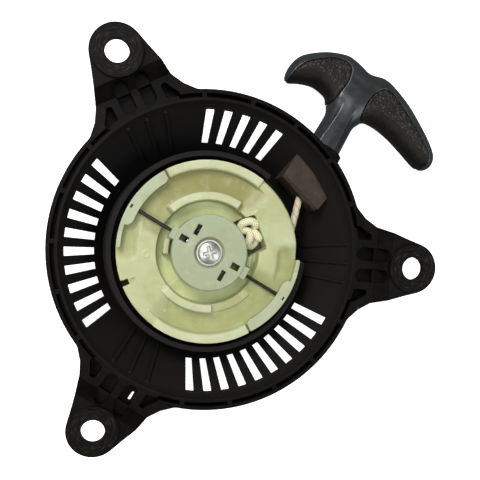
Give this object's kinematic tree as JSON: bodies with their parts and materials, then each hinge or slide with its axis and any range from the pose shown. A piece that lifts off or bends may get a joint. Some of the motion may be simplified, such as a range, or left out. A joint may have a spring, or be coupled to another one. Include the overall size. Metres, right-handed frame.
{
  "type": "recoil starter",
  "caption": "Pull starter for a small engine: slotted bowl housing with mounting ears, roped reel with swing-out pawls, retainer cap and a T-shaped pull handle.",
  "frame": {"origin": "centre of the mounting bolt circle, on the plane of the three mounting pads", "axes": "+Z out of the mounting pads towards the engine, along the reel's axis; +X through the mounting ear nearest the handle's right side"},
  "size_m": [0.2089, 0.2213, 0.047],
  "materials": {
    "housing_plastic": "fine moulded texture, worn round the mounting pads",
    "guide_plastic": "grainy, matte",
    "plated_steel": "zinc plated",
    "brass": "turned",
    "spring_steel": "blued",
    "reel_nylon": "natural nylon, slightly see-through",
    "pawl_nylon": "natural nylon",
    "cap_nylon": "natural nylon, smooth",
    "black_wire": "black oxide, satin",
    "rope_braid": "braided polyester with dark tracer flecks",
    "handle_plastic": "semi-gloss",
    "grip_rubber": "pebbled soft overmould"
  },
  "bodies": {
    "housing": {"housing": "housing_plastic", "rope_guide": "guide_plastic", "rope_eyelet": "plated_steel", "post_insert": "brass", "power_spring": "spring_steel", "centre_screw": "plated_steel", "centre_bush": "plated_steel", "thrust_washer": "plated_steel", "rope_run": "rope_braid"},
    "reel": {"reel": "reel_nylon", "rope_wound": "rope_braid", "reel_knot": "rope_braid"},
    "pawl_a": {"pawl_a": "pawl_nylon"},
    "pawl_b": {"pawl_b": "pawl_nylon"},
    "retainer": {"retainer_cap": "cap_nylon", "drive_wire_a": "black_wire", "drive_wire_b": "black_wire", "friction_spring": "spring_steel"},
    "handle": {"handle_body": "handle_plastic", "grip_left": "grip_rubber", "grip_right": "grip_rubber", "knot_washer": "plated_steel", "handle_knot": "rope_braid"}
  },
  "joints": [
    {"name": "handle_pull", "type": "slide", "parent": "housing", "child": "handle", "axis": [0.4305, 0.9026, 0], "range_m": [0, 0.75], "stiffness_N_per_m": 20, "springref_m": -0.6},
    {"name": "reel_spin", "type": "hinge", "parent": "housing", "child": "reel", "pos_m": [0, 0, -0.03], "axis": [0, 0, 1], "range_deg": [0, 1103]},
    {"name": "retainer_turn", "type": "hinge", "parent": "reel", "child": "retainer", "pos_m": [0, 0, -0.017], "axis": [0, 0, -1], "range_deg": [0, 12]},
    {"name": "pawl_a_swing", "type": "hinge", "parent": "reel", "child": "pawl_a", "pos_m": [-0.02674, 0.03681, -0.0187], "axis": [0, 0, -1], "range_deg": [0, 9]},
    {"name": "pawl_b_swing", "type": "hinge", "parent": "reel", "child": "pawl_b", "pos_m": [0.02674, -0.03681, -0.0187], "axis": [0, 0, -1], "range_deg": [0, 6]}
  ],
  "couplings": [
    {"joint": "reel_spin", "follows": "handle_pull", "rad_per_m": 25.641},
    {"joint": "pawl_a_swing", "follows": "retainer_turn", "ratio": 0.75},
    {"joint": "pawl_b_swing", "follows": "retainer_turn", "ratio": 0.5}
  ]
}
